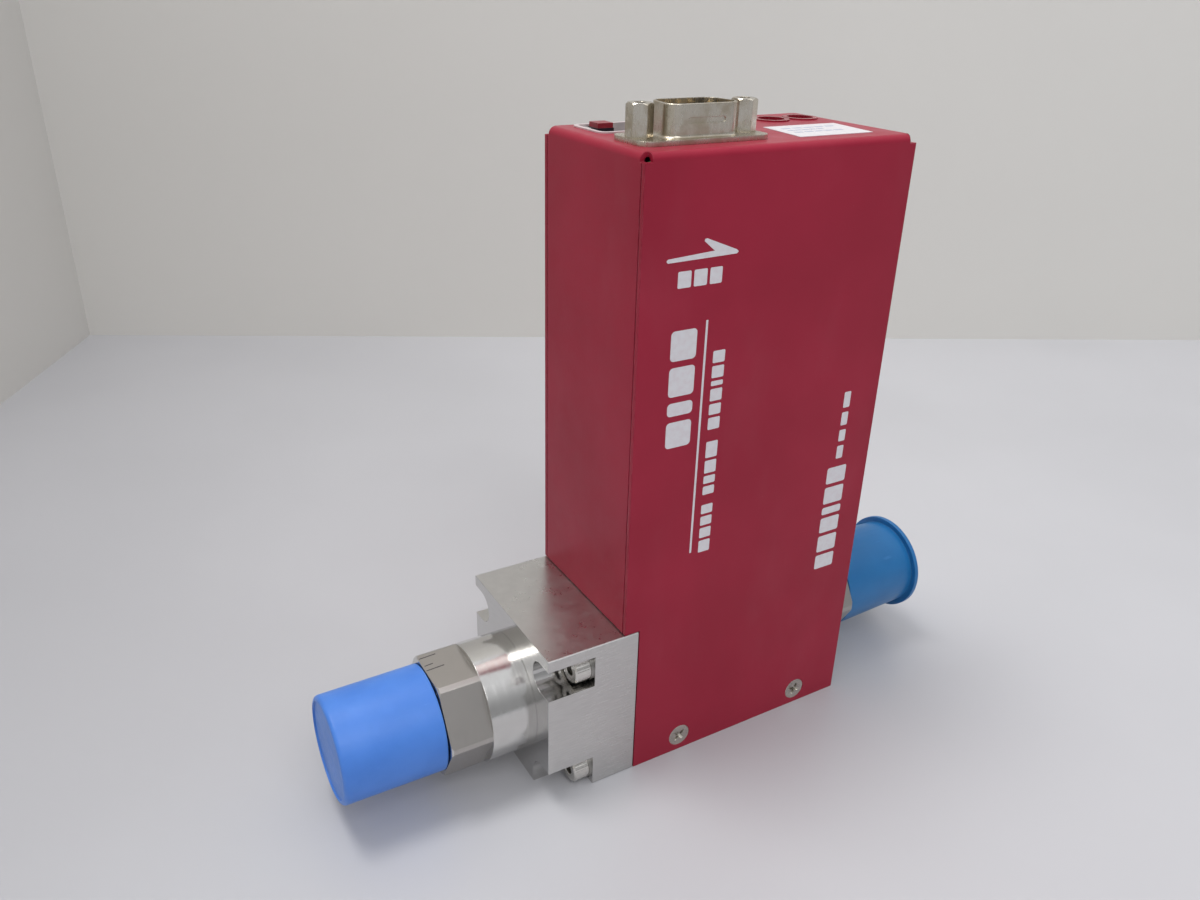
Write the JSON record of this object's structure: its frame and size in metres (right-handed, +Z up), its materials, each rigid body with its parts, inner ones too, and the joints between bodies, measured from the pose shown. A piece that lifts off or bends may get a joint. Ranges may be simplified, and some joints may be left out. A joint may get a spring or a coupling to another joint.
{
  "type": "mass flow controller",
  "caption": "Tall mass flow controller: red sheet cover on a stainless gas block, D connector on top, capped face-seal fittings at both ends.",
  "frame": {"origin": "on the underside of the base block, below the middle of the cover", "axes": "+X with the gas, from the inlet to the outlet; +Y from the printed face to the back; +Z up"},
  "size_m": [0.1699, 0.0398, 0.1554],
  "materials": {
    "cover": "red paint, semi-gloss",
    "cover_screws": "bright zinc",
    "base_block": "ground",
    "inlet_block": "ground sides, polished end",
    "inlet_screws": "bright",
    "inlet_washers": "plain",
    "inlet_gasket": "nickel",
    "inlet_filter": "sintered",
    "inlet_fitting": "turned and polished, milled flats",
    "outlet_fitting": "turned and polished, milled flats",
    "inlet_cap": "light blue polyethylene",
    "outlet_cap": "darker blue polyethylene",
    "bypass_element": "machined",
    "sensor_base": "machined",
    "sensor_seals": "nickel",
    "sensor_screws": "bright",
    "sensor_tube": "drawn",
    "sensor_windings": "varnished wire",
    "sensor_housing": "plain",
    "valve_seat": "lapped",
    "valve_spacer": "ground",
    "valve_diaphragm": "polished foil",
    "valve_housing": "turned",
    "valve_screws": "bright",
    "valve_plunger": "ground",
    "piezo_stack": "coated ceramic",
    "valve_adjuster": "turned",
    "valve_lock_nut": "plain",
    "board_bracket": "bent sheet",
    "bracket_screws": "bright",
    "board_screws": "bright",
    "main_board": "green circuit board",
    "board_chips": "black",
    "board_header": "black",
    "top_board": "green circuit board",
    "connector_shell": "nickel plate",
    "connector_insulator": "black",
    "connector_pins": "gold flash",
    "jackscrews": "nickel plate",
    "jackscrew_nuts": "nickel plate",
    "window_bezel": "pale plastic",
    "service_header": "black",
    "header_shunt": "red",
    "light_pipe": "milky",
    "hole_plugs": "red"
  },
  "bodies": {
    "root": {"cover": "cover", "cover_screws": "cover_screws", "base_block": "base_block", "inlet_block": "inlet_block", "inlet_screws": "inlet_screws", "inlet_washers": "inlet_washers", "inlet_gasket": "inlet_gasket", "inlet_filter": "inlet_filter", "inlet_fitting": "inlet_fitting", "outlet_fitting": "outlet_fitting", "inlet_cap": "inlet_cap", "outlet_cap": "outlet_cap", "bypass_element": "bypass_element", "sensor_base": "sensor_base", "sensor_seals": "sensor_seals", "sensor_screws": "sensor_screws", "sensor_tube": "sensor_tube", "sensor_windings": "sensor_windings", "sensor_housing": "sensor_housing", "valve_seat": "valve_seat", "valve_spacer": "valve_spacer", "valve_diaphragm": "valve_diaphragm", "valve_housing": "valve_housing", "valve_screws": "valve_screws", "valve_plunger": "valve_plunger", "piezo_stack": "piezo_stack", "valve_adjuster": "valve_adjuster", "valve_lock_nut": "valve_lock_nut", "board_bracket": "board_bracket", "bracket_screws": "bracket_screws", "board_screws": "board_screws", "main_board": "main_board", "board_chips": "board_chips", "board_header": "board_header", "top_board": "top_board", "connector_shell": "connector_shell", "connector_insulator": "connector_insulator", "connector_pins": "connector_pins", "jackscrews": "jackscrews", "jackscrew_nuts": "jackscrew_nuts", "window_bezel": "window_bezel", "service_header": "service_header", "header_shunt": "header_shunt", "light_pipe": "light_pipe", "hole_plugs": "hole_plugs"}
  },
  "joints": []
}
